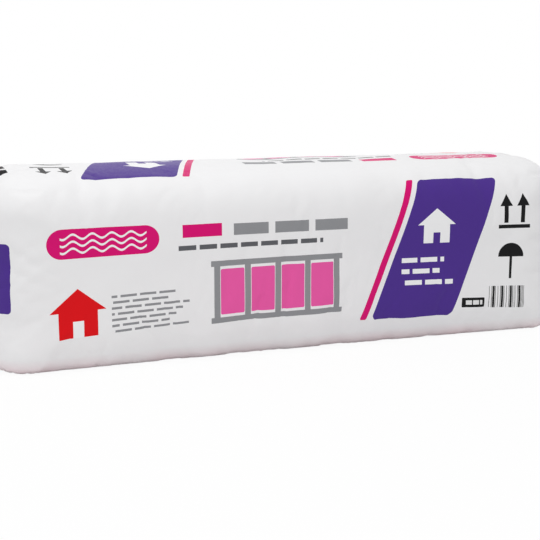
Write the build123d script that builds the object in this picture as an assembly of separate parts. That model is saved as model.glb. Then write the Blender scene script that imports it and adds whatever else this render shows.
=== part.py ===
"""A bagged pack of folded glass-wool batts, for the bays of a stud wall.

Long batts are folded in half, laid flat on each other, pressed down and pushed into a tube of printed
film. The film is pulled in round both ends of the stack and heat-sealed there into an upright fin.
Frame: the origin is the middle of the base, +X runs along the pack, the front panel faces -Y and +Z is up.
All sizes are in millimetres.
"""

import os

from build123d import *

# The filled bag
pack_length = 1240.0  # from end to end, without the seal fins
pack_depth = 400.0  # across the batts' width
pack_height = 365.0  # up the pressed stack
top_edge_radius = 120.0  # round of the film along the top edges of the front and back
base_edge_radius = 60.0  # round along their base edges, which the pack's weight flattens on the floor
end_corner_radius = 75.0  # round of the film as it turns in to an end, seen from above
end_top_radius = 75.0  # round of the film over the top of an end, where it is pulled tight
end_base_radius = 34.0  # round under the foot of an end
end_bow = 18.0  # how far the wool pushes each end out, mid-depth
top_bow = 10.0  # how far the wool pushes the top panel up, mid-depth

# The film
film_thickness = 0.15
seal_fin_length = 30.0  # how far the sealed film stands out of each end
seal_layers = 2  # films welded together in the fin

# The batts
batt_count = 10
batt_clearance = 0.3  # between the wool and the film
batt_gap = 0.3  # between one folded batt and the next
fold_gap = 0.3  # between the two halves of a folded batt
fold_wool = 18.0  # wool left whole where a batt turns back on itself

# Cutting shapes
overrun = 50.0  # how far a cutting shape runs past what it cuts
round_runout = 0.5  # how far the rounds of the ends and corners run out past the faces that they meet


def bow_radius(half_chord, bow):
    """Radius of the arc that rises by the bow over twice the half chord."""
    return (half_chord**2 + bow**2) / (2 * bow)


end_radius = bow_radius(pack_depth / 2, end_bow)
end_centre = end_radius - pack_length / 2
top_radius = bow_radius(pack_depth / 2, top_bow)


def end_lens(inset):
    """The bowed ends from above, drawn in by the inset."""
    disc = Circle(end_radius - inset)
    return Pos(end_centre, 0) * disc & Pos(-end_centre, 0) * disc


def long_body(inset):
    """The pack's run without its ends: flat panels under a bowed top, with round long edges."""
    crown = Pos(0, pack_height - top_radius) * Circle(top_radius - inset)
    span = Pos(0, inset + pack_height / 2) * Rectangle(pack_depth - 2 * inset, pack_height)
    section = crown & span
    section = fillet(section.vertices().sort_by(Axis.Y)[:2], base_edge_radius - inset)
    section = fillet(section.vertices().sort_by(Axis.Y)[-2:], top_edge_radius - inset)
    return extrude(Plane.YZ * section, pack_length / 2 + overrun, both=True)


def end_body(inset):
    """The room between the two ends: bowed walls with a round head and foot."""
    walls = Pos(0, 0, inset) * extrude(end_lens(inset), pack_height + round_runout - 2 * inset)
    walls = fillet(walls.faces().sort_by(Axis.Z)[0].edges(), end_base_radius - inset)
    return fillet(walls.faces().sort_by(Axis.Z)[-1].edges(), end_top_radius - inset)


def corner_body(inset):
    """The pack from above, with round upright corners."""
    between_panels = Rectangle(pack_length + overrun, pack_depth + 2 * (round_runout - inset))
    sharp = between_panels & end_lens(inset - round_runout)
    rounded = fillet(sharp.vertices(), end_corner_radius - inset)
    return extrude(rounded, pack_height + overrun, both=True)


def filled_shape(inset):
    """The shape that the pressed batts give the film, drawn in by the inset on every side."""
    return long_body(inset) & end_body(inset) & corner_body(inset)


def film_bag():
    """One tube of film closed at both ends: a skin round the batts, with the welded fins standing out."""
    skin = filled_shape(0) - filled_shape(film_thickness)
    fin_root = film_thickness / 2
    fin_foot_z = end_base_radius
    fin_head_z = pack_height - end_top_radius
    fin = Box(fin_root + seal_fin_length, seal_layers * film_thickness, fin_head_z - fin_foot_z)
    fin_x = pack_length / 2 + (seal_fin_length - fin_root) / 2
    for end in (-1, 1):
        skin += Pos(end * fin_x, 0, (fin_foot_z + fin_head_z) / 2) * fin
    return skin


def folded_batts():
    """The pressed batts from the base up: slices of the wool, each slit from its open end to the fold."""
    inset = film_thickness + batt_clearance
    wool = filled_shape(inset)
    wool_height = pack_height - 2 * inset
    batt_thickness = (wool_height - (batt_count - 1) * batt_gap) / batt_count
    slice_box = Box(pack_length, pack_depth, batt_thickness)
    slit_box = Box(pack_length, pack_depth, fold_gap)
    batts = []
    for place in range(batt_count):
        middle_z = inset + batt_thickness / 2 + place * (batt_thickness + batt_gap)
        batt = wool & (Pos(0, 0, middle_z) * slice_box)
        fold_end_x = (batt & (Pos(0, 0, middle_z) * slit_box)).bounding_box().min.X
        slit_x = fold_end_x + fold_wool + pack_length / 2
        batts.append(batt - Pos(slit_x, 0, middle_z) * slit_box)
    return batts


os.makedirs("parts", exist_ok=True)
export_step(film_bag(), "parts/film_bag.step")
for number, batt in enumerate(folded_batts(), start=1):
    export_step(batt, f"parts/batt_{number:02d}.step")
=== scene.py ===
import bpy
import numpy as np
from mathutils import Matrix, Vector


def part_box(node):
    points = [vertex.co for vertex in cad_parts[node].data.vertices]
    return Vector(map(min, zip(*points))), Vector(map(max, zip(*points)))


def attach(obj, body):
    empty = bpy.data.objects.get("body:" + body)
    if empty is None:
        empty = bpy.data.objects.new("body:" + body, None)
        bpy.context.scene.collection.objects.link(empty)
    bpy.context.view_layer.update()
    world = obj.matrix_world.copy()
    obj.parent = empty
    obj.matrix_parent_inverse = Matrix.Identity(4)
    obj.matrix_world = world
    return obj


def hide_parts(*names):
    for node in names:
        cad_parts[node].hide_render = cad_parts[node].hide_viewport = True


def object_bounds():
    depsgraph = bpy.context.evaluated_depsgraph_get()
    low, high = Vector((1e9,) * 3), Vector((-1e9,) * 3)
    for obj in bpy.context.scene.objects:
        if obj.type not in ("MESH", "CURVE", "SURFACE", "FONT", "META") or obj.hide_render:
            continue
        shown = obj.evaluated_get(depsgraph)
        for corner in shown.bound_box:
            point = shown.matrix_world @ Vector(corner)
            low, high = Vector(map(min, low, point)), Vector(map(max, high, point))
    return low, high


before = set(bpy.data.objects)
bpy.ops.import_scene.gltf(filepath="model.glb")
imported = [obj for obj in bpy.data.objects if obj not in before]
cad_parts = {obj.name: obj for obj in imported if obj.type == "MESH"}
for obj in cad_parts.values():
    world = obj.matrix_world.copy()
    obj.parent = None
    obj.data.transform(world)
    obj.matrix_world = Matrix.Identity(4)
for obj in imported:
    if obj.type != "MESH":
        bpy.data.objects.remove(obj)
cad_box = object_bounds()

# The folded batts
# Long batts of glass wool, bound with resin, are folded in half, laid flat on each other and pressed to
# about a fifth of their loose height. The fold is at the left end and the two cut ends are at the right.
MM = 0.001
batt_names = sorted(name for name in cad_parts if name.startswith("batt_"))
stack_height = cad_box[1][2]
top_edge_round = 60 * MM  # the film presses the long edges of the stack round, at the top
wool_base_round = 60 * MM  # and less at the floor
wool_side_slack = 22 * MM  # the room that the film's bulge and tucks take on each side of the wool
wool_end_slack = 34 * MM  # and at each end
wool_corner_round = 100 * MM  # the film rounds the corners of the stack, seen from above
wool_squeeze = 0.955  # of its height in the frame, what the stack has under the film's wrinkles
wool_edge_power = 5.0  # how square the edges of a pressed layer are
layer_share = 0.92  # of the room for one layer, the part that its wool fills
cut_end_share = 0.55  # of a layer's thickness, what is left at its cut end
batt_run_steps = 110
batt_round_steps = 72
rng = np.random.default_rng(412)


def grid_faces(ids):
    """Quads of a grid of vertex numbers, each wound from its row to the next and on along the column."""
    return np.stack([ids[:-1, :-1], ids[:-1, 1:], ids[1:, 1:], ids[1:, :-1]], -1).reshape(-1, 4)


def closed_tube(grid):
    """Points and quads of rings in a row, each ring closed, with the first and last filled across."""
    ids = np.arange(grid.shape[0] * grid.shape[1]).reshape(grid.shape[:2])
    half = grid.shape[1] // 2
    caps = [np.stack([ring[:half], ring[::-1][:half]]) for ring in (ids[-1], ids[0][::-1])]
    faces = [grid_faces(np.hstack([ids, ids[:, :1]]))] + [grid_faces(cap) for cap in caps]
    return grid.reshape(-1, 3), np.vstack(faces)


def new_piece(name, points, faces):
    """An object at the origin with those points, in metres, and quads, all shaded smooth."""
    mesh = bpy.data.meshes.new(name)
    mesh.from_pydata(points.tolist(), [], faces.tolist())
    mesh.polygons.foreach_set("use_smooth", np.ones(len(mesh.polygons), bool))
    mesh.update()
    piece = bpy.data.objects.new(name, mesh)
    bpy.context.scene.collection.objects.link(piece)
    return piece


def soft_waves(points, longest, shortest, count):
    """Sum of sine waves of random heading and phase over the points, from -1 to 1 or so. Their lengths
    are spread evenly in ratio from the longest to the shortest, and longer waves are higher."""
    lengths = np.geomspace(longest, shortest, count)
    heading = rng.normal(size=(count, 3))
    heading /= np.linalg.norm(heading, axis=1, keepdims=True)
    phase = rng.uniform(0, 2 * np.pi, count)
    turns = points @ (heading * (2 * np.pi / lengths)[:, None]).T + phase
    return np.sin(turns) @ (lengths / lengths.sum()) * np.sqrt(count)


def edge_inset(z):
    """How far the stack is drawn in at a height: a quarter circle at the base and another at the top."""
    over = np.clip((z - (stack_height - top_edge_round)) / top_edge_round, 0, 1)
    under = np.clip((wool_base_round - z) / wool_base_round, 0, 1)
    return top_edge_round * (1 - np.sqrt(1 - over**2)) + wool_base_round * (1 - np.sqrt(1 - under**2))


def folded_batt(low, high):
    """A U in side view: along the lower layer to the fold, half round it, and back along the upper layer.
    Each cross-section is a squared ellipse, as wide as the film's round edges leave room for."""
    middle = (low.z + high.z) / 2
    bend = (high.z - low.z) / 4
    half_thick = layer_share * bend
    levels = edge_inset(np.array([low.z, middle, high.z]))
    fold_x = wool_end_x - levels.max() - bend - half_thick
    ends_x = wool_end_x - np.maximum(levels[:2], levels[1:])
    runs = ends_x + fold_x
    along = np.linspace(0, runs.sum() + np.pi * bend, batt_run_steps)
    turn = np.clip((along - runs[0]) / bend, 0, np.pi)
    straight_x = np.where(along < runs[0], ends_x[0] - along, along - runs[0] - np.pi * bend - fold_x)
    x = np.where(turn * (np.pi - turn) > 0, -fold_x - bend * np.sin(turn), straight_x)
    z = middle - bend * np.cos(turn)
    normal = np.stack([np.sin(turn), np.cos(turn)], -1)
    drawn_in = np.maximum(edge_inset(z - half_thick), edge_inset(z + half_thick))
    past = np.clip(np.abs(x) - (wool_end_x - drawn_in - wool_corner_round), 0, wool_corner_round)
    half_wide = wool_half_depth - drawn_in - wool_corner_round + np.sqrt(wool_corner_round**2 - past**2)
    end_gap = np.minimum(along, along[-1] - along)
    thin = half_thick * np.clip(cut_end_share + end_gap / half_thick, 0, 1)
    angle = (np.arange(batt_round_steps) + 0.5) * 2 * np.pi / batt_round_steps
    squared_sin = np.sign(np.sin(angle)) * np.abs(np.sin(angle)) ** (2 / wool_edge_power)
    squared_cos = np.sign(np.cos(angle)) * np.abs(np.cos(angle)) ** (2 / wool_edge_power)
    out = thin[:, None] * squared_sin
    y = half_wide[:, None] * squared_cos
    z = wool_squeeze * (z[:, None] - normal[:, 1:] * out)
    return np.stack([x[:, None] - normal[:, :1] * out, y, z], -1)


wool_box_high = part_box(batt_names[len(batt_names) // 2])[1]
wool_end_x = wool_box_high.x - wool_end_slack
wool_half_depth = wool_box_high.y - wool_side_slack
batts = []
for batt_name in batt_names:
    batt_low, batt_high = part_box(batt_name)
    batt = new_piece(batt_name + "_wool", *closed_tube(folded_batt(batt_low, batt_high)))
    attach(batt, "root")
    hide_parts(batt_name)
    batts.append(batt)


def linear(hex_colour):
    """An sRGB hex colour as linear red, green, blue and alpha."""
    srgb = np.array([int(hex_colour[k : k + 2], 16) for k in (1, 3, 5)]) / 255
    low_end = srgb / 12.92
    high_end = ((srgb + 0.055) / 1.055) ** 2.4
    return (*np.where(srgb <= 0.04045, low_end, high_end), 1.0)


def add_node(tree, kind, inputs=(), **settings):
    """Adds a node with its settings. Inputs are values, sockets or nodes, in order or by name."""
    node = tree.nodes.new(kind)
    for key, value in settings.items():
        setattr(node, key, value)
    for place, value in inputs.items() if isinstance(inputs, dict) else enumerate(inputs):
        if isinstance(value, bpy.types.Node):
            tree.links.new(value.outputs[0], node.inputs[place])
        elif isinstance(value, bpy.types.NodeSocket):
            tree.links.new(value, node.inputs[place])
        else:
            node.inputs[place].default_value = value
    return node


def new_material(name):
    """A material with an empty node tree, its tree and its output node."""
    material = bpy.data.materials.new(name)
    material.use_nodes = True
    tree = material.node_tree
    tree.nodes.clear()
    return material, tree, tree.nodes.new("ShaderNodeOutputMaterial")


# Spun glass wool: fine glass fibres laid in flat layers and cured with a dyed resin. It is dull all over,
# with clumps of fibre a few millimetres across and a nap of single fibres that catch the light.
clump_width = 9 * MM
clump_depth = 3 * MM
fibre_width = 0.8 * MM
fibre_depth = 0.6 * MM
glass_wool, wool, wool_out = new_material("spun_glass_wool")
wool_place = add_node(wool, "ShaderNodeTexCoord").outputs["Object"]
flat_layers = add_node(wool, "ShaderNodeMapping", {"Vector": wool_place, "Scale": (1, 1, 3)})
clumps = add_node(wool, "ShaderNodeTexNoise", {"Vector": flat_layers, "Scale": 1 / clump_width, "Detail": 4})
fibres = add_node(wool, "ShaderNodeTexNoise", {"Vector": flat_layers, "Scale": 1 / fibre_width})
wool_tone = add_node(wool, "ShaderNodeValToRGB", [clumps])
wool_tone.color_ramp.elements[0].position = 0.3
wool_tone.color_ramp.elements[0].color = linear("#D995A6")
wool_tone.color_ramp.elements[1].position = 0.7
wool_tone.color_ramp.elements[1].color = linear("#EDBCC6")
clump_bump = add_node(wool, "ShaderNodeBump", {"Height": clumps, "Distance": clump_depth, "Strength": 0.6})
nap = add_node(
    wool,
    "ShaderNodeBump",
    {"Height": fibres, "Distance": fibre_depth, "Strength": 0.8, "Normal": clump_bump},
)
wool_shader = add_node(
    wool,
    "ShaderNodeBsdfPrincipled",
    {"Base Color": wool_tone, "Roughness": 0.95, "Sheen Weight": 0.25, "Normal": nap},
)
wool.links.new(wool_shader.outputs[0], wool_out.inputs["Surface"])
for batt in batts:
    batt.data.materials.append(glass_wool)

# The film bag
# One tube of white low-density polyethylene, blown thin and printed flat. It is pushed over the pressed
# stack, its top and bottom are tucked in at the ends, and each end is welded into an upright fin.
film_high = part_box("film_bag")[1]
film_to_wool = 0.45 * MM  # the wool's clearance and the film
body_half_length = wool_box_high.x + film_to_wool
body_half_depth = film_high.y
body_height = film_high.z
top_corner_round = 80 * MM  # of the bag's four upright corners, seen from above, at the top
base_edge_round = 35 * MM  # of the bag's lower edges near its ends
base_corner_round = 75 * MM  # the corners spread where the pack's weight presses on the floor
base_lift = 26 * MM  # how much rounder the base edge is at mid-length, where nothing presses it down
side_bow = 3 * MM  # how far the wool pushes the front and back out, mid-length
end_bow = 18 * MM  # and each end, mid-depth
top_bow = 10 * MM  # and the top, mid-depth
film_step = 5.8 * MM  # size of a mesh cell
end_cells_share = 0.85  # of the depth, what the cells across an end have to cover
start_inset = 7 * MM  # the film starts this far inside its filled shape
half_reach_x = body_half_length - end_bow - start_inset
half_reach_y = body_half_depth - side_bow - start_inset
top_flat = body_height - top_bow - start_inset


def plan_side(half_run, half_reach, corner, share):
    """One side of the bag from above, from the middle of one corner to the middle of the next: a straight
    run with an eighth of a circle at each end. Gives the place along and out, the normal and the length."""
    straight = half_run - corner
    length = share * (straight + corner * np.pi / 4)
    angle = np.clip(np.abs(length) - straight, 0, None) / corner
    sign = np.sign(length)
    along = sign * (np.minimum(np.abs(length), straight) + corner * np.sin(angle))
    out = half_reach - corner * (1 - np.cos(angle))
    return along, out, sign * np.sin(angle), np.cos(angle), length


def bag_profile(base_round):
    """The bag's wall from the base up to the middle of the top edge: a quarter round, an upright run and an
    eighth of a circle. Gives each row's inset and height for each base radius, its length up the film, and
    the share of the top's bow that it takes."""
    shoulder = top_flat - top_edge_round
    base_arc = np.linspace(-np.pi / 2, 0, int(base_edge_round * np.pi / 2 / film_step) + 3)[:, None]
    share = np.linspace(0, 1, int((shoulder - base_edge_round) / film_step))[1:-1, None]
    top_arc = np.linspace(0, np.pi / 4, int(top_edge_round * np.pi / 4 / film_step) + 1)[:, None]
    inset = [
        base_round * (1 - np.cos(base_arc)),
        share * 0 * base_round,
        top_edge_round * (1 - np.cos(top_arc)) + 0 * base_round,
    ]
    height = [
        base_round * (1 + np.sin(base_arc)),
        base_round + share * (shoulder - base_round),
        shoulder + top_edge_round * np.sin(top_arc) + 0 * base_round,
    ]
    length = [
        base_edge_round * (1 + base_arc),
        base_edge_round + share * (shoulder - base_edge_round),
        shoulder + top_edge_round * top_arc,
    ]
    crown = [0 * base_arc, 0 * share, np.sin(top_arc) ** 2]
    return [np.concatenate(part) for part in (inset, height, length, crown)]


columns_x = 2 * int(body_half_length / film_step)
columns_y = 2 * int(end_cells_share * body_half_depth / film_step)
share_x = np.linspace(-1, 1, columns_x + 1)[None, :]
share_y = np.linspace(-1, 1, columns_y + 1)[None, :]
inset_x, height_x, film_up, crown_share = bag_profile(base_edge_round + base_lift * (1 - share_x**2))
inset_y, height_y, film_up, crown_share = bag_profile(base_edge_round + 0 * share_y)
rise_share = np.clip(film_up / film_up[-1], 0, 1)
row_corner = base_corner_round + (top_corner_round - base_corner_round) * np.sin(rise_share * np.pi / 2)
side = plan_side(half_reach_x, half_reach_y, row_corner, share_x)
end = plan_side(half_reach_y, half_reach_x, row_corner, share_y)


def bulge(share):
    """How far a panel is pushed out across it: one in the middle, and nothing and no slope at its edges."""
    return np.clip(1 - share**2, 0, 1) ** 2


def wall_ring():
    """The four walls as one ring of columns, from the middle of the left end round by the front.
    A side is bowed out in the middle and drawn in by the row's inset along its normal."""
    parts = []
    half = columns_y // 2
    kept = [slice(half, -1), slice(0, -1), slice(0, -1), slice(0, -1), slice(0, half + 1)]
    for quarter, keep in enumerate(kept):
        along, out, normal_along, normal_out, _ = (end, side)[quarter % 2]
        bow, inset, height = ((end_bow, inset_y, height_y), (side_bow, inset_x, height_x))[quarter % 2]
        a = along - normal_along * inset
        o = out + bow * bulge(along / along[:, -1:]) - normal_out * inset
        x, y = [(-o, -a), (a, -o), (o, a), (-a, o), (-o, -a)][quarter]
        z = height + crown_share * top_bow * bulge(y / half_reach_y)
        parts.append(np.stack([x[:, keep], y[:, keep], z[:, keep]], -1))
    return np.concatenate(parts, 1)


walls = wall_ring()
rows, ring_columns = walls.shape[0], walls.shape[1] - 1
wall_ids = np.arange(rows * ring_columns).reshape(rows, ring_columns)
wall_ids = np.hstack([wall_ids, wall_ids[:, :1]])
front_corner = columns_y // 2


def cap_border(values):
    """The four edges of a cap, taken from a row of the ring: front, right, back and left."""
    values = values[:-1]
    right_start, back_start = front_corner + columns_x, front_corner + columns_x + columns_y
    front = values[front_corner : right_start + 1]
    right = values[right_start : back_start + 1]
    back = values[back_start : back_start + columns_x + 1][::-1]
    left = np.roll(values, -(back_start + columns_x), axis=0)[: columns_y + 1][::-1]
    return front, right, back, left


def cap_sheet(border):
    """A sheet between four edges: both blends between opposite edges, less the blend of the corners."""
    front, right, back, left = cap_border(border)
    s = np.linspace(0, 1, columns_x + 1)[:, None, None]
    t = np.linspace(0, 1, columns_y + 1)[None, :, None]
    across = (1 - t) * front[:, None] + t * back[:, None]
    along = (1 - s) * left[None] + s * right[None]
    corners = (1 - s) * ((1 - t) * front[0] + t * back[0]) + s * ((1 - t) * front[-1] + t * back[-1])
    return across + along - corners


def cap_ids(first_id, ring_ids):
    """The grid of a cap's vertex numbers: new ones inside, and the ring's own along its edges."""
    grid = np.zeros((columns_x + 1, columns_y + 1), int)
    grid[1:-1, 1:-1] = first_id + np.arange((columns_x - 1) * (columns_y - 1)).reshape(columns_x - 1, -1)
    grid[:, 0], grid[-1], grid[:, -1], grid[0] = cap_border(ring_ids)
    return grid


def top_height(x, y):
    """Height of the bag's top over a place: a quarter circle in from the plan's rounded rectangle, and a
    bulge across the depth."""
    bowed_x = half_reach_x + end_bow * bulge(y / half_reach_y)
    bowed_y = half_reach_y + side_bow * bulge(x / half_reach_x)
    past_x = np.abs(x) - bowed_x + top_corner_round
    past_y = np.abs(y) - bowed_y + top_corner_round
    outside = np.hypot(np.clip(past_x, 0, None), np.clip(past_y, 0, None))
    inset = top_corner_round - outside - np.clip(np.maximum(past_x, past_y), None, 0)
    short = np.clip(top_edge_round - inset, 0, top_edge_round)
    level = top_flat - top_edge_round + np.sqrt(top_edge_round**2 - short**2)
    return level + top_bow * bulge(y / half_reach_y) * (1 - (short / top_edge_round) ** 2)


# At the corners the walls' last row and the top's formula differ a little, which the whole top takes up.
base_cap, top_cap = cap_sheet(walls[0]), cap_sheet(walls[-1])
rim_miss = walls[-1, :, 2:] - top_height(walls[-1, :, :1], walls[-1, :, 1:2])
top_cap[..., 2] = top_height(top_cap[..., 0], top_cap[..., 1]) + cap_sheet(rim_miss)[..., 0]
walls_count = rows * ring_columns
base_ids = cap_ids(walls_count, wall_ids[0])
top_ids = cap_ids(walls_count + (columns_x - 1) * (columns_y - 1), wall_ids[-1])
film_parts = (walls[:, :-1], base_cap[1:-1, 1:-1], top_cap[1:-1, 1:-1])
film_points = np.vstack([part.reshape(-1, 3) for part in film_parts])
sheet_columns = ring_columns // 2
front_ids, back_ids = wall_ids[:, : sheet_columns + 1], wall_ids[:, sheet_columns:]
film_faces = [grid_faces(ids) for ids in (front_ids, back_ids, base_ids)] + [grid_faces(top_ids)[:, ::-1]]
film_quads = np.vstack(film_faces)


def outward(points, quads):
    """Unit normals at the points: the summed cross products of the diagonals of the quads around each."""
    cross = np.cross(points[quads[:, 2]] - points[quads[:, 0]], points[quads[:, 3]] - points[quads[:, 1]])
    sums = [np.bincount(quads.ravel(), np.repeat(cross[:, k], 4), len(points)) for k in range(3)]
    normals = np.stack(sums, -1)
    return normals / np.linalg.norm(normals, axis=1, keepdims=True)


# The wool presses the slack film out, which wrinkles it where it has more film than room: a cloth simulation
# of a skin a little longer than its shape, under even pressure, held where it lies flat and at the fins.
film_slack_share = 0.008
fill_pressure = 4.0
film_mass = 0.0006  # of one vertex, so light that the film settles in a few frames
film_tension = 60  # stiffness against stretching
film_compression = 20  # and against being pushed together
film_shear = 10
film_bending = 0.02  # thin film hardly resists a fold
film_frames = 16
frame_steps = 4
wrinkle_cap = 9 * MM
ripple_height = 0.9 * MM  # of the unevenness that starts the wrinkles
ripple_lengths = (200 * MM, 20 * MM)
ripple_count = 24
bulge_rounds = 80  # of evening out, which leaves what is wider than a hand
floor_touch = 1 * MM  # film lower than this lies on the floor
end_facing = 0.7  # the part of its normal along the pack that film on an end has at least
film_normals = outward(film_points, film_quads)
ripple = ripple_height * soft_waves(film_points, *ripple_lengths, ripple_count)
film_start = film_points + film_normals * ripple[:, None]
film_start[:, 2] = np.maximum(film_start[:, 2], 0)
on_floor = film_points[:, 2] < floor_touch
at_fin = (np.abs(film_points[:, 1]) < film_step / 2) & (np.abs(film_normals[:, 0]) > end_facing)


def evened_out(moves, rounds):
    """Each point's move, drawn half way to the mean of its neighbours' again and again."""
    edges = np.vstack([film_quads[:, [k, (k + 1) % 4]] for k in range(4)])
    here, there = np.vstack([edges, edges[:, ::-1]]).T
    neighbours = np.bincount(here)
    for _ in range(rounds):
        means = [np.bincount(here, moves[there, k]) / neighbours for k in range(3)]
        moves = (moves + np.stack(means, -1)) / 2
    return moves


def film_wrinkles():
    """The slack film's moves in the simulation, less the wide bulge, which the wool's shape gives instead.
    No point moves further than the cap."""
    slack_film = new_piece("slack_film", film_start, film_quads)
    slack_mesh = slack_film.data
    held = slack_film.vertex_groups.new(name="held_film")
    held.add(np.flatnonzero(on_floor | at_fin).tolist(), 1.0, "REPLACE")
    cloth = slack_film.modifiers.new("film", "CLOTH")
    cloth.collision_settings.use_collision = False
    skin = cloth.settings
    skin.quality = frame_steps
    skin.mass = film_mass
    skin.vertex_group_mass = held.name
    skin.use_pressure = True
    skin.uniform_pressure_force = fill_pressure
    skin.shrink_min = skin.shrink_max = -film_slack_share
    skin.tension_stiffness = film_tension
    skin.compression_stiffness = film_compression
    skin.shear_stiffness = film_shear
    skin.bending_stiffness = film_bending
    skin.effector_weights.gravity = 0
    for number in range(1, film_frames + 1):
        bpy.context.scene.frame_set(number)
    moved = slack_film.evaluated_get(bpy.context.evaluated_depsgraph_get()).data
    places = np.empty(3 * len(moved.vertices), np.float32)
    moved.vertices.foreach_get("co", places)
    bpy.data.objects.remove(slack_film)
    bpy.data.meshes.remove(slack_mesh)
    bpy.context.scene.frame_set(1)
    moves = places.reshape(-1, 3) - film_start
    moves -= evened_out(moves, bulge_rounds)
    length = np.linalg.norm(moves, axis=1, keepdims=True)
    return moves * np.minimum(1, wrinkle_cap / np.maximum(length, 1e-9))


film_filled = film_start + film_normals * start_inset
film_filled += film_wrinkles()
tuck_tips = (215 * MM, 130 * MM)  # heights where the top's and the bottom's tucks reach the fin
tuck_feet = (335 * MM, 22 * MM)  # and where they start, at the upright corners
tuck_depth = 6 * MM
tuck_edge = 9 * MM  # width of the fold's step
tuck_fade = 60 * MM
tuck_facing = (0.88, 0.98)  # the part of its normal along the pack over which film takes up the tucks


def tuck_sink(places):
    """How deep the end's film lies behind the side sheets that are folded over it: a step beyond each of the
    two slanting folds, which fades out away from the fold."""
    sink = np.zeros(len(places))
    for tip, foot in zip(tuck_tips, tuck_feet):
        slope = (foot - tip) / half_reach_y
        away = np.sign(slope) * (places[:, 2] - tip - slope * np.abs(places[:, 1])) / np.hypot(1, slope)
        step = np.clip(away / tuck_edge, 0, 1)
        sink += step**2 * (3 - 2 * step) * np.exp(-np.clip(away, 0, None) / tuck_fade)
    return tuck_depth * sink


on_end = np.interp(np.abs(film_normals[:, 0]), tuck_facing, (0, 1))
film_filled -= film_normals * (on_end * tuck_sink(film_filled))[:, None]
film_filled[:, 2] = np.maximum(film_filled[:, 2], 0)

# The two sheets are welded together beyond each end: a thin fin that waves a little, with fine ribs across
# the welded band. Its thickness is drawn four times too large, to have two faces in a mesh.
fin_low, fin_high = 34 * MM, 290 * MM
fin_root = 10 * MM  # how far it reaches into the end, out of sight
fin_thick = 1.2 * MM
weld_band = (0.45, 0.85)  # shares of the way out
rib_pitch = 3.2 * MM
rib_height = 0.35 * MM
fin_wave = 3.5 * MM
fin_wave_lengths = (160 * MM, 40 * MM)
fin_wave_count = 9
fin_wave_spread = 40 * MM  # how far the waves' pattern moves on from the root to the tip
fin_out_steps = 16
fin_rib_steps = 5


def weld_fin(turn):
    """A strip that stands out from one end: across it runs from the root to the tip and back on the other
    side, and up it follows soft waves that grow towards the tip and a sine for the ribs."""
    out = np.concatenate([np.linspace(0, 1, fin_out_steps), np.linspace(1, 0, fin_out_steps)])[None, :]
    face = np.repeat([-0.5, 0.5], fin_out_steps)[None, :] * fin_thick
    z = np.linspace(fin_low, fin_high, int((fin_high - fin_low) / rib_pitch * fin_rib_steps))[:, None]
    middle = body_half_length - fin_root
    x = middle + out * (film_high.x - middle) + 0 * z
    path = np.stack([0 * x, out * fin_wave_spread + 0 * z, z + 0 * out], -1) + turn
    sway = soft_waves(path.reshape(-1, 3), *fin_wave_lengths, fin_wave_count)
    wave = fin_wave * out * sway.reshape(x.shape)
    in_band = (out > weld_band[0]) & (out < weld_band[1])
    ribs = rib_height * np.sin(2 * np.pi * z / rib_pitch) * in_band
    y = wave + face + ribs
    return np.stack([turn * x, turn * y, z + 0 * x], -1)


fins = [weld_fin(turn) for turn in (-1, 1)]
fin_quads = []
all_points = [film_filled]
for fin in fins:
    fin_points, quads = closed_tube(fin)
    fin_quads.append(quads + sum(len(points) for points in all_points))
    all_points.append(fin_points)
film_bag = new_piece("film_bag_skin", np.vstack(all_points), np.vstack([film_quads, *fin_quads]))
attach(film_bag, "root")
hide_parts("film_bag")

# The film's print
# The tube is printed flat, so the front and the back carry the design upright and wrap round the ends as
# far as the fins. The bottom carries it too, and the top turned half round. Places are in mm on the film.
base_join = int(np.argmin(np.abs(film_up - base_edge_round * (1 - np.pi / 4))))
panel_middle = 185  # height of the design's middle on the film
atlas_side = 1.7  # metres of film that the bake's square map is wide
atlas_rows = (0, 0.42, 0.8, 1.24)  # where the front, back, base and top stand in it


def corner_values(values):
    """The values at the four corners of each quad of a grid, in the order of grid_faces."""
    corners = [values[:-1, :-1], values[:-1, 1:], values[1:, 1:], values[1:, :-1]]
    return np.stack(corners, 2).reshape(-1, 4, 2)


def sheet_print():
    """The flat place of a front or back sheet: the length round the walls from its middle, at half height,
    and the length up the film. Both sheets are alike."""
    middle_row = rows // 2
    end_length, side_length = end[4][middle_row], side[4][middle_row]
    half = columns_y // 2
    reach = side_length[-1] + end_length[-1]
    along = [end_length[half:-1] - reach, side_length[:-1], end_length[: half + 1] + reach]
    along = np.broadcast_to(np.concatenate(along), (rows, sheet_columns + 1))
    return np.stack([along, np.broadcast_to(film_up, along.shape)], -1) / MM


def lying_print(points, turn):
    """The place on the top or bottom panel, seen from above, turned half round if turn is -1."""
    return turn * points[..., :2] / MM + np.array([0, panel_middle])


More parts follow.
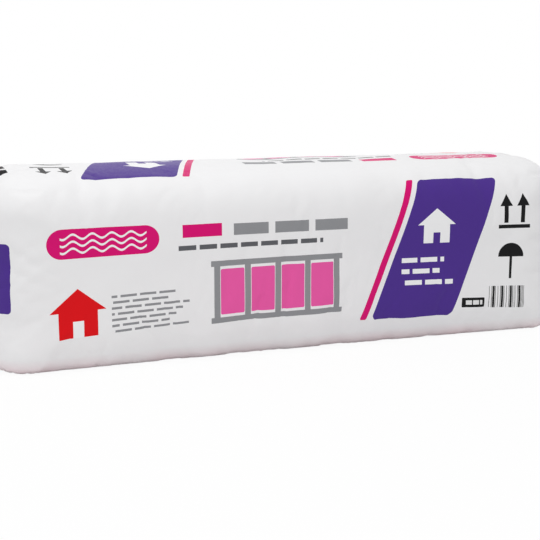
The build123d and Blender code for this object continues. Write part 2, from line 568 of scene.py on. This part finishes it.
on_base = np.repeat(np.arange(rows - 1) < base_join, sheet_columns)[:, None, None]
print_places, atlas_places = [], []
for panel, points in enumerate((walls[:, : sheet_columns + 1], walls[:, sheet_columns:])):
    lying = corner_values(lying_print(points, 1))
    print_places.append(np.where(on_base, lying, corner_values(sheet_print())))
    stand = np.where(on_base, atlas_rows[2], atlas_rows[panel])
    atlas_places.append(print_places[-1] * MM + np.concatenate([0 * stand + atlas_side / 2, stand], -1))
for panel, points, turn in ((2, base_cap, 1), (3, top_cap, -1)):
    print_places.append(corner_values(lying_print(points, turn))[:, ::turn])
    atlas_places.append(print_places[-1] * MM + np.array([atlas_side / 2, atlas_rows[panel]]))
beside_print = 3000  # the fins' place on the film, mm from the design's middle
fin_starts = (0.02, 0.12)  # where the fins stand in the bake's map, beside the top
fin_cell = 2.4 * MM  # of the fin's film from one column to the next
for start, fin, quads in zip(fin_starts, fins, fin_quads):
    points = np.vstack(all_points)[quads]
    ring = (quads - quads.min()) % fin.shape[1]
    unrolled = ring * fin_cell
    print_places.append(np.stack([unrolled / MM + beside_print, points[..., 2] / MM], -1))
    atlas_places.append(np.stack([unrolled + start, points[..., 2] + atlas_rows[3]], -1))
for map_name, places in (("print", print_places), ("OFBake", [p / atlas_side for p in atlas_places])):
    uv_map = film_bag.data.uv_layers.new(name=map_name)
    uv_map.data.foreach_set("uv", np.concatenate(places).astype(np.float32).ravel())

# Blown low-density polyethylene, white with pigment, printed in flat inks. It has a soft gloss, dulled in
# places by scuffs, and a fine crinkle where it was squeezed. A little of the wool's pink comes through,
# most where the pack presses the film against the floor.
cloud_width = 140 * MM
crinkle_width = 30 * MM
crinkle_depth = 1.2 * MM
scuff_width = 4 * MM
scuff_depth = 0.15 * MM
scuff_roughness = (0.34, 0.5)
pink_from, pink_to = 30 * MM, 3 * MM  # heights between which the wool's pink comes in, down to the floor
pink_share = 0.9
pink_haze_share = 0.03  # and what comes through all over
film_material, film, film_out = new_material("printed_polyethylene_film")
print_place = add_node(film, "ShaderNodeUVMap", uv_map="print").outputs["UV"]
print_axes = add_node(film, "ShaderNodeSeparateXYZ", [print_place])
across, up = print_axes.outputs["X"], print_axes.outputs["Y"]


def both(*masks):
    """Where all of the masks are."""
    joined = masks[0]
    for mask in masks[1:]:
        joined = add_node(film, "ShaderNodeMath", [joined, mask], operation="MULTIPLY")
    return joined


def any_of(*masks):
    """Where any of the masks is."""
    joined = masks[0]
    for mask in masks[1:]:
        joined = add_node(film, "ShaderNodeMath", [joined, mask], operation="MAXIMUM")
    return joined


def printed_bar(u, v, half_wide, half_high, rounding=0.3, place=print_place):
    """A rectangle with round corners: the places nearer to its core than the rounding."""
    away = add_node(film, "ShaderNodeVectorMath", [place, (u, v, 0)], operation="SUBTRACT")
    apart = add_node(film, "ShaderNodeVectorMath", [away], operation="ABSOLUTE")
    core = (half_wide - rounding, half_high - rounding, 0)
    past = add_node(film, "ShaderNodeVectorMath", [apart, core], operation="SUBTRACT")
    outside = add_node(film, "ShaderNodeVectorMath", [past, (0, 0, 0)], operation="MAXIMUM")
    distance = add_node(film, "ShaderNodeVectorMath", [outside], operation="LENGTH").outputs["Value"]
    return add_node(film, "ShaderNodeMath", [distance, rounding], operation="LESS_THAN")


def printed_gable(u, eaves, ridge, half_wide):
    """A triangle on a level base: under two slopes that meet at the ridge, and above the eaves."""
    away = add_node(film, "ShaderNodeMath", [across, u], operation="SUBTRACT")
    apart = add_node(film, "ShaderNodeMath", [away], operation="ABSOLUTE")
    fall = (ridge - eaves) / half_wide
    slope = add_node(film, "ShaderNodeMath", [apart, fall, up], operation="MULTIPLY_ADD")
    under = add_node(film, "ShaderNodeMath", [slope, ridge], operation="LESS_THAN")
    above = add_node(film, "ShaderNodeMath", [up, eaves], operation="GREATER_THAN")
    return both(under, above)


word_gap_share = 0.16  # of a word's room, the space before it
word_shift_share = 0.618  # of a word's room, how far a line's words stand on from those of the line below
ragged_share = 0.35  # of a line's room, the most that it is short of
ragged_step_share = 0.7548  # of that, how much one line differs from the next


def printed_lines(u, v, wide, lines, pitch, thick_share, word, place=print_place):
    """Lines of plain strokes in place of words: rows at the pitch, cut into words, with ragged ends."""
    away = add_node(film, "ShaderNodeVectorMath", [place, (u, v, 0)], operation="SUBTRACT")
    axes = add_node(film, "ShaderNodeSeparateXYZ", [away])
    right, above = axes.outputs["X"], axes.outputs["Y"]
    level = add_node(film, "ShaderNodeMath", [above, pitch], operation="DIVIDE")
    line = add_node(film, "ShaderNodeMath", [level], operation="FLOOR")
    in_line = add_node(film, "ShaderNodeMath", [level], operation="FRACT")
    stroke = add_node(film, "ShaderNodeMath", [in_line, thick_share], operation="LESS_THAN")
    words = add_node(film, "ShaderNodeMath", [right, 1 / word], operation="MULTIPLY")
    shifted = add_node(film, "ShaderNodeMath", [line, word_shift_share, words], operation="MULTIPLY_ADD")
    in_word = add_node(film, "ShaderNodeMath", [shifted], operation="FRACT")
    gap = add_node(film, "ShaderNodeMath", [in_word, word_gap_share], operation="GREATER_THAN")
    ragged = add_node(film, "ShaderNodeMath", [line, ragged_step_share], operation="MULTIPLY")
    ragged = add_node(film, "ShaderNodeMath", [ragged], operation="FRACT")
    length = add_node(film, "ShaderNodeMath", [ragged, -ragged_share * wide, wide], operation="MULTIPLY_ADD")
    short = add_node(film, "ShaderNodeMath", [right, length], operation="LESS_THAN")
    block = printed_bar(u + wide / 2, v + lines * pitch / 2, wide / 2, lines * pitch / 2, place=place)
    return both(stroke, gap, short, block)


def printed_waves(u, v, half_wide, rise, wave, thick, count, pitch):
    """Level wavy strokes, one above another: near the sine of the place across, inside their block."""
    turn = add_node(film, "ShaderNodeMath", [across, 2 * np.pi / wave], operation="MULTIPLY")
    sine = add_node(film, "ShaderNodeMath", [turn], operation="SINE")
    low = v - count * pitch / 2
    bent = add_node(film, "ShaderNodeMath", [sine, -rise, up], operation="MULTIPLY_ADD")
    level = add_node(film, "ShaderNodeMath", [bent, low], operation="SUBTRACT")
    step = add_node(film, "ShaderNodeMath", [level, pitch], operation="DIVIDE")
    part = add_node(film, "ShaderNodeMath", [step], operation="FRACT")
    middle = add_node(film, "ShaderNodeMath", [part, 0.5], operation="SUBTRACT")
    apart = add_node(film, "ShaderNodeMath", [middle], operation="ABSOLUTE")
    stroke = add_node(film, "ShaderNodeMath", [apart, thick / pitch / 2], operation="LESS_THAN")
    ends = printed_bar(u, v, half_wide, count * pitch)
    above = add_node(film, "ShaderNodeMath", [step, 0.0], operation="GREATER_THAN")
    below = add_node(film, "ShaderNodeMath", [step, float(count)], operation="LESS_THAN")
    return both(stroke, ends, above, below)


batt_play = 1  # between a printed batt and its studs, mm
batt_rounding = 3
eaves_share = 1.45  # of half the house's width, how far its roof reaches


def printed_wall(u, v, bay, half_high, stud, bays):
    """A stud wall from the front: upright studs between two plates, and a batt in each bay.
    Gives the mask of the timber and the mask of the batts."""
    edge = bays * bay / 2
    timber = [printed_bar(u + bay * k - edge, v, stud / 2, half_high) for k in range(bays + 1)]
    timber += [printed_bar(u, v + level, edge + stud, stud / 2) for level in (-half_high, half_high)]
    wool_high = half_high - stud
    wool_wide = (bay - stud) / 2 - batt_play
    middles = [u + bay * (k + 0.5) - edge for k in range(bays)]
    wool_fills = [printed_bar(middle, v, wool_wide, wool_high, batt_rounding) for middle in middles]
    return any_of(*timber), any_of(*wool_fills)


def printed_house(u, floor_line, half_wide, wall, roof):
    """A house from the front: a square wall under a gable that overhangs it."""
    walls = printed_bar(u, floor_line + wall / 2, half_wide, wall / 2)
    eaves = floor_line + wall
    return any_of(walls, printed_gable(u, eaves, eaves + roof, eaves_share * half_wide))


sash_lean = 0.36
leaned = add_node(film, "ShaderNodeMath", [up, -sash_lean, across], operation="MULTIPLY_ADD")
lean_place = add_node(film, "ShaderNodeCombineXYZ", [leaned, up])
turned_across = add_node(film, "ShaderNodeMath", [across, -1.0], operation="MULTIPLY")
turned_place = add_node(film, "ShaderNodeCombineXYZ", [up, turned_across])
sash = printed_bar(220, 182, 92, 150, 10, lean_place)
sash_stripe = printed_bar(110, 182, 7, 150, 3, lean_place)
end_field = any_of(printed_bar(-645, 178, 75, 64, 8), printed_bar(745, 215, 20, 80, 8))
sash_house = printed_house(284, 196, 30, 40, 36)
sash_door = printed_bar(284, 207, 8, 12)
sash_words = printed_lines(206, 104, 118, 3, 25, 0.42, 46)
wall_timber, wall_batts = printed_wall(-62, 118, 62, 60, 12, 4)
house = any_of(printed_house(-452, 58, 36, 50, 44), printed_house(668, 60, 20, 30, 26))
door = printed_bar(-452, 74, 10, 16)
pill = printed_bar(-402, 238, 104, 28, 27.9)
heat_waves = printed_waves(-402, 238, 80, 4.5, 36, 4.2, 3, 13)
title = printed_lines(-268, 236, 92, 1, 44, 0.6, 92)
title_rest = printed_lines(-166, 236, 250, 1, 44, 0.55, 84)
under_title = printed_lines(-268, 210, 300, 1, 18, 0.55, 41)
small_words = printed_lines(-390, 58, 150, 7, 11.5, 0.42, 37)
arrows = [printed_bar(u, 256, 5, 22) for u in (448, 488)]
arrows += [printed_gable(u, 270, 296, 15) for u in (448, 488)]
arrows.append(printed_bar(468, 226, 38, 4))
canopy_edge = add_node(film, "ShaderNodeMath", [up, 160.0], operation="GREATER_THAN")
umbrella = any_of(both(printed_bar(462, 160, 30, 30, 29.9), canopy_edge), printed_bar(462, 138, 3, 26))
black_bar = printed_bar(374, 60, 27, 11, 2)
bar_words = printed_lines(354, 55, 42, 1, 20, 0.5, 17)
end_words = printed_lines(150, -590, 130, 2, 26, 0.55, 47, turned_place)
bars_each_mm = 0.19
bars_stray_share = 0.3  # of a bar's room, how far the bars stray from even steps
bars_stray_turn = 0.9  # radians a mm
bars_ink_share = 0.5
bars_turn = add_node(film, "ShaderNodeMath", [across, bars_stray_turn], operation="MULTIPLY")
bars_shift = add_node(film, "ShaderNodeMath", [bars_turn], operation="SINE")
bars_step = add_node(film, "ShaderNodeMath", [across, bars_each_mm], operation="MULTIPLY")
bars_step = add_node(
    film, "ShaderNodeMath", [bars_shift, bars_stray_share, bars_step], operation="MULTIPLY_ADD"
)
bars_step = add_node(film, "ShaderNodeMath", [bars_step], operation="FRACT")
bars = add_node(film, "ShaderNodeMath", [bars_step, bars_ink_share], operation="LESS_THAN")
stock_bars = both(bars, printed_bar(455, 72, 44, 24))

film_place = add_node(film, "ShaderNodeTexCoord").outputs["Object"]
clouds = add_node(film, "ShaderNodeTexNoise", {"Vector": film_place, "Scale": 1 / cloud_width, "Detail": 2})
crinkle = add_node(
    film, "ShaderNodeTexNoise", {"Vector": film_place, "Scale": 1 / crinkle_width, "Detail": 3}
)
scuffs = add_node(film, "ShaderNodeTexNoise", {"Vector": film_place, "Scale": 1 / scuff_width, "Detail": 4})
off_floor = add_node(film, "ShaderNodeSeparateXYZ", [film_place]).outputs["Z"]
low_down = add_node(
    film, "ShaderNodeMapRange", {"Value": off_floor, "From Min": pink_from, "From Max": pink_to}
)
wool_shows = add_node(
    film, "ShaderNodeMath", [low_down, pink_share, pink_haze_share], operation="MULTIPLY_ADD"
)
wool_shows = add_node(film, "ShaderNodeMath", [wool_shows, clouds], operation="MULTIPLY")
bare_film = add_node(
    film,
    "ShaderNodeMix",
    {"Factor": wool_shows, 6: linear("#EDEDEE"), 7: linear("#E9C9CF")},
    data_type="RGBA",
)
inks = [
    ("#4B2F8A", any_of(sash, end_field)),
    ("#F1F1F2", any_of(sash_house, sash_words)),
    ("#4B2F8A", sash_door),
    ("#DD0A14", house),
    ("#D6086F", any_of(pill, title, sash_stripe)),
    ("#F1F1F2", any_of(door, heat_waves)),
    ("#E85AA4", wall_batts),
    ("#8F9093", any_of(wall_timber, small_words, title_rest)),
    ("#5E5F63", under_title),
    ("#101012", any_of(*arrows, umbrella, black_bar, end_words, stock_bars)),
    ("#E6E6E6", bar_words),
]
film_colour = bare_film.outputs[2]
for ink, mask in inks:
    layer = {"Factor": mask, 6: film_colour, 7: linear(ink)}
    film_colour = add_node(film, "ShaderNodeMix", layer, data_type="RGBA").outputs[2]
gloss = add_node(
    film,
    "ShaderNodeMapRange",
    {
        "Value": scuffs,
        "From Min": 0.3,
        "From Max": 0.7,
        "To Min": scuff_roughness[0],
        "To Max": scuff_roughness[1],
    },
)
crinkle_bump = add_node(
    film, "ShaderNodeBump", {"Height": crinkle, "Distance": crinkle_depth, "Strength": 0.35}
)
fine_bump = add_node(
    film,
    "ShaderNodeBump",
    {"Height": scuffs, "Distance": scuff_depth, "Strength": 0.3, "Normal": crinkle_bump},
)
film_shader = add_node(
    film,
    "ShaderNodeBsdfPrincipled",
    {
        "Base Color": film_colour,
        "Roughness": gloss,
        "IOR": 1.51,
        "Specular IOR Level": 0.12,
        "Normal": fine_bump,
    },
)
film.links.new(film_shader.outputs[0], film_out.inputs["Surface"])
film_bag.data.materials.append(film_material)

# The floor, light and camera
# A white sweep that the pack lies on, a white room round it, and one large soft lamp from the upper left.
floor_half = 6.0
glow_from, glow_to = 0.8, 2.6  # from the pack's middle, where the floor's glow grows to full
near_glow_share = 0.92  # nearer, so that the shadow shows
floor_points = np.array([[-1, -1, 0], [1, -1, 0], [1, 1, 0], [-1, 1, 0]]) * floor_half
floor = new_piece("floor", floor_points, np.array([[0, 1, 2, 3]]))
floor_material, sweep, sweep_out = new_material("white_sweep")


def seen_white(tree):
    """One for a ray that sees the white itself, in gloss or through glass too, and else nothing."""
    rays = add_node(tree, "ShaderNodeLightPath").outputs
    seen = rays["Is Camera Ray"]
    for kind in ("Is Glossy Ray", "Is Transmission Ray"):
        seen = add_node(tree, "ShaderNodeMath", [seen, rays[kind]], operation="MAXIMUM")
    return seen


sweep_paint = add_node(sweep, "ShaderNodeBsdfDiffuse", {"Color": linear("#F4F4F4")})
sweep_glow = add_node(sweep, "ShaderNodeEmission", {"Color": (1, 1, 1, 1), "Strength": 1.0})
floor_place = add_node(sweep, "ShaderNodeTexCoord").outputs["Object"]
far_off = add_node(sweep, "ShaderNodeVectorMath", [floor_place], operation="LENGTH").outputs["Value"]
glow_share = add_node(
    sweep,
    "ShaderNodeMapRange",
    {"Value": far_off, "From Min": glow_from, "From Max": glow_to, "To Min": near_glow_share, "To Max": 1.0},
)
seen_share = add_node(sweep, "ShaderNodeMath", [seen_white(sweep), glow_share], operation="MULTIPLY")
sweep_mix = add_node(sweep, "ShaderNodeMixShader", [seen_share, sweep_paint, sweep_glow])
sweep.links.new(sweep_mix.outputs[0], sweep_out.inputs["Surface"])
floor.data.materials.append(floor_material)

room_strength = 0.64
world = bpy.data.worlds.new("white_room")
bpy.context.scene.world = world
world.use_nodes = True
room = world.node_tree
room.nodes.clear()
room_light = add_node(room, "ShaderNodeBackground", {"Color": (1, 1, 1, 1), "Strength": room_strength})
room_seen = add_node(room, "ShaderNodeBackground", {"Color": (1, 1, 1, 1), "Strength": 1.0})
room_mix = add_node(room, "ShaderNodeMixShader", [seen_white(room), room_light, room_seen])
add_node(room, "ShaderNodeOutputWorld", [room_mix])

lamp_size = 2.4
lamp_place = (-0.9, -0.95, 3.05)
lamp_tilt, lamp_turn = 25.6, -43.5  # towards the middle of the pack
lamp_power = 45.0
lamp_data = bpy.data.lights.new("soft_lamp", "AREA")
lamp_data.size = lamp_size
lamp_data.energy = lamp_power
lamp = bpy.data.objects.new("soft_lamp", lamp_data)
lamp.location = lamp_place
lamp.rotation_euler = np.radians((lamp_tilt, 0, lamp_turn))
bpy.context.scene.collection.objects.link(lamp)

camera_place = (-0.854, -2.227, 0.544)
camera_turn = 20.93
camera_down = 9.79
photo_width = 540
focal_pixels = 1142.5
sensor_width = 36.0
camera_data = bpy.data.cameras.new("camera")
camera_data.sensor_width = sensor_width
camera_data.lens = focal_pixels / photo_width * sensor_width
camera = bpy.data.objects.new("camera", camera_data)
camera.location = camera_place
camera.rotation_euler = np.radians((90 - camera_down, 0, -camera_turn))
bpy.context.scene.collection.objects.link(camera)
bpy.context.scene.camera = camera
bpy.context.scene.view_settings.view_transform = "Standard"
